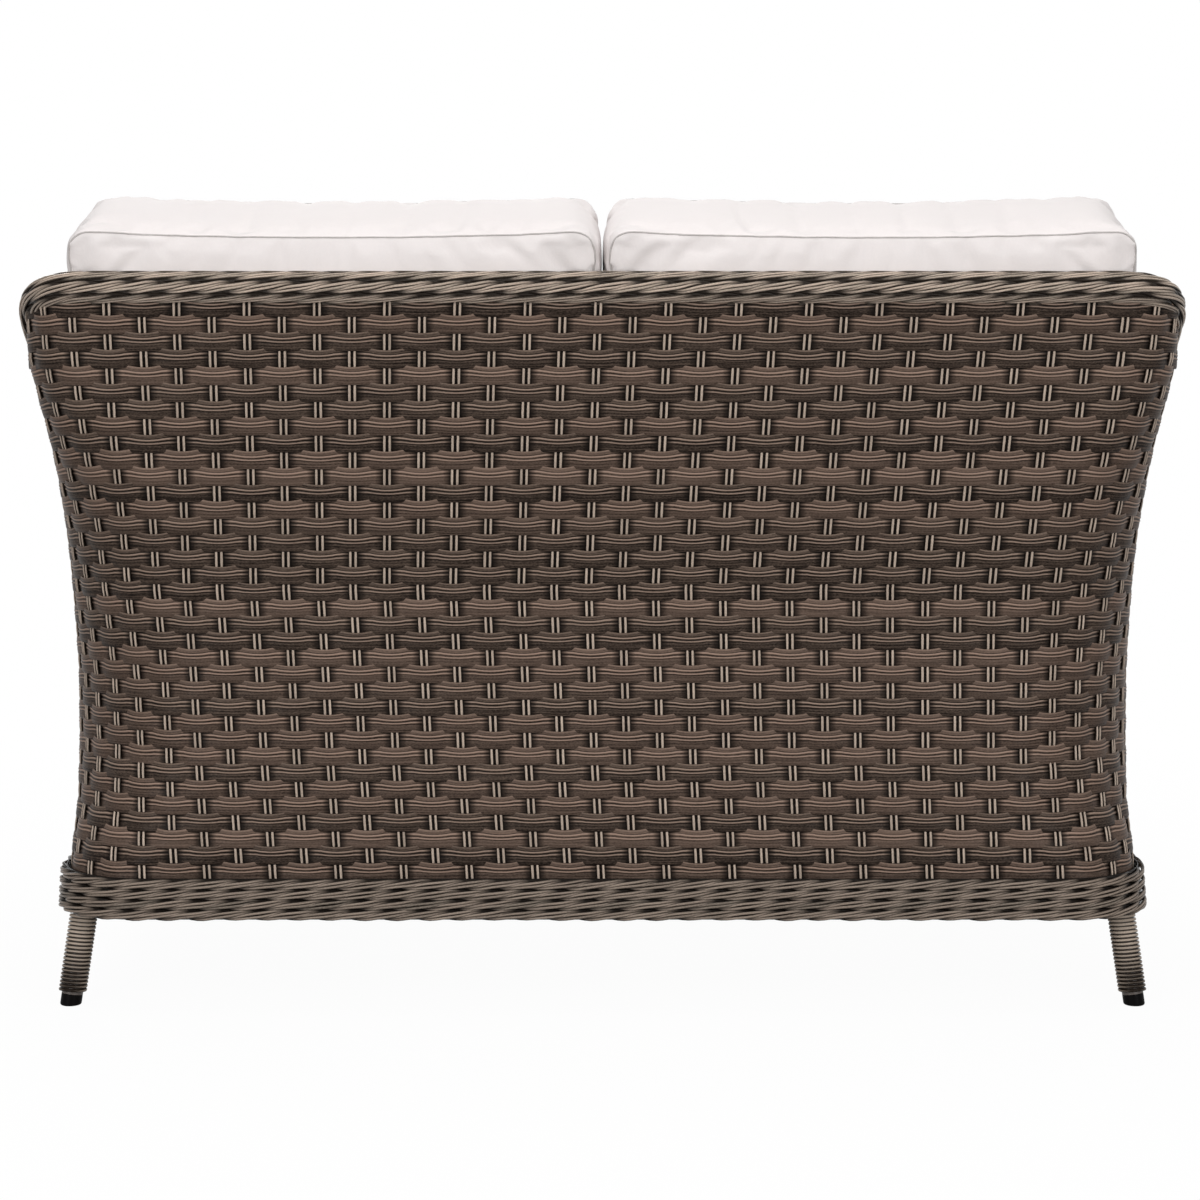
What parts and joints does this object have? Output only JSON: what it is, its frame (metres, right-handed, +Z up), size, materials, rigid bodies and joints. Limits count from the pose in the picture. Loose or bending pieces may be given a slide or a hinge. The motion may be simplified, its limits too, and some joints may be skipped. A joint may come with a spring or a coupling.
{
  "type": "loveseat",
  "caption": "Wicker patio loveseat: aluminium tube frame in a flared woven shell with braided rail and border, rod-wound splayed legs and loose box cushions.",
  "frame": {"origin": "on the floor, under the middle of the loveseat's bounding box", "axes": "+Z up, -Y is the way the seat faces, +X is the sitter's left"},
  "size_m": [1.3398, 0.838, 0.96],
  "materials": {
    "frame_metal": "dark brown powder coat on drawn tube",
    "flat_wicker": "ribbed flat resin strand over pairs of round stakes, grey-brown with tone changes",
    "braid_wicker": "round resin rods, braided and waled, satin, streaked light and dark",
    "leg_wrap": "round resin rod wound tight round the leg, satin",
    "glide_plastic": "black moulded plastic",
    "cushion_fabric": "off-white woven outdoor polyester, plain weave, matt",
    "cushion_filling": "foam block in fibre wrap",
    "zip_nylon": "nylon coil zip, off-white"
  },
  "bodies": {
    "frame": {"back_rail_braid": "braid_wicker", "back_rail_tube": "frame_metal", "back_weave": "flat_wicker", "base_front_tube": "frame_metal", "base_rear_tube": "frame_metal", "front_border": "braid_wicker", "front_weave": "flat_wicker", "left_arm_rail_braid": "braid_wicker", "left_arm_rail_tube": "frame_metal", "left_arm_stile": "frame_metal", "left_arm_weave": "flat_wicker", "left_back_upright": "frame_metal", "left_base_side_tube": "frame_metal", "left_front_glide": "glide_plastic", "left_front_leg_tube": "frame_metal", "left_front_leg_winding": "leg_wrap", "left_rear_glide": "glide_plastic", "left_rear_leg_tube": "frame_metal", "left_rear_leg_winding": "leg_wrap", "left_seat_cross_tube": "frame_metal", "left_seat_side_tube": "frame_metal", "left_side_border": "braid_wicker", "middle_back_upright": "frame_metal", "middle_seat_cross_tube": "frame_metal", "rear_border": "braid_wicker", "right_arm_rail_braid": "braid_wicker", "right_arm_rail_tube": "frame_metal", "right_arm_stile": "frame_metal", "right_arm_weave": "flat_wicker", "right_back_upright": "frame_metal", "right_base_side_tube": "frame_metal", "right_front_glide": "glide_plastic", "right_front_leg_tube": "frame_metal", "right_front_leg_winding": "leg_wrap", "right_rear_glide": "glide_plastic", "right_rear_leg_tube": "frame_metal", "right_rear_leg_winding": "leg_wrap", "right_seat_cross_tube": "frame_metal", "right_seat_side_tube": "frame_metal", "right_side_border": "braid_wicker", "seat_deck_weave": "flat_wicker", "seat_front_braid": "braid_wicker", "seat_front_tube": "frame_metal", "seat_rear_tube": "frame_metal"},
    "left_seat_cushion": {"left_seat_cushion_core": "cushion_filling", "left_seat_cushion_cover": "cushion_fabric", "left_seat_cushion_zip": "zip_nylon"},
    "left_back_cushion": {"left_back_cushion_core": "cushion_filling", "left_back_cushion_cover": "cushion_fabric"},
    "right_seat_cushion": {"right_seat_cushion_core": "cushion_filling", "right_seat_cushion_cover": "cushion_fabric", "right_seat_cushion_zip": "zip_nylon"},
    "right_back_cushion": {"right_back_cushion_core": "cushion_filling", "right_back_cushion_cover": "cushion_fabric"}
  },
  "joints": [
    {"name": "left_seat_cushion_lift", "type": "slide", "parent": "frame", "child": "left_seat_cushion", "axis": [0, 0, 1], "range_m": [0, 0.3]},
    {"name": "left_back_cushion_lift", "type": "slide", "parent": "left_seat_cushion", "child": "left_back_cushion", "axis": [0, -0.5, 0.866], "range_m": [0, 0.4]},
    {"name": "right_seat_cushion_lift", "type": "slide", "parent": "frame", "child": "right_seat_cushion", "axis": [0, 0, 1], "range_m": [0, 0.3]},
    {"name": "right_back_cushion_lift", "type": "slide", "parent": "right_seat_cushion", "child": "right_back_cushion", "axis": [0, -0.5, 0.866], "range_m": [0, 0.4]}
  ]
}
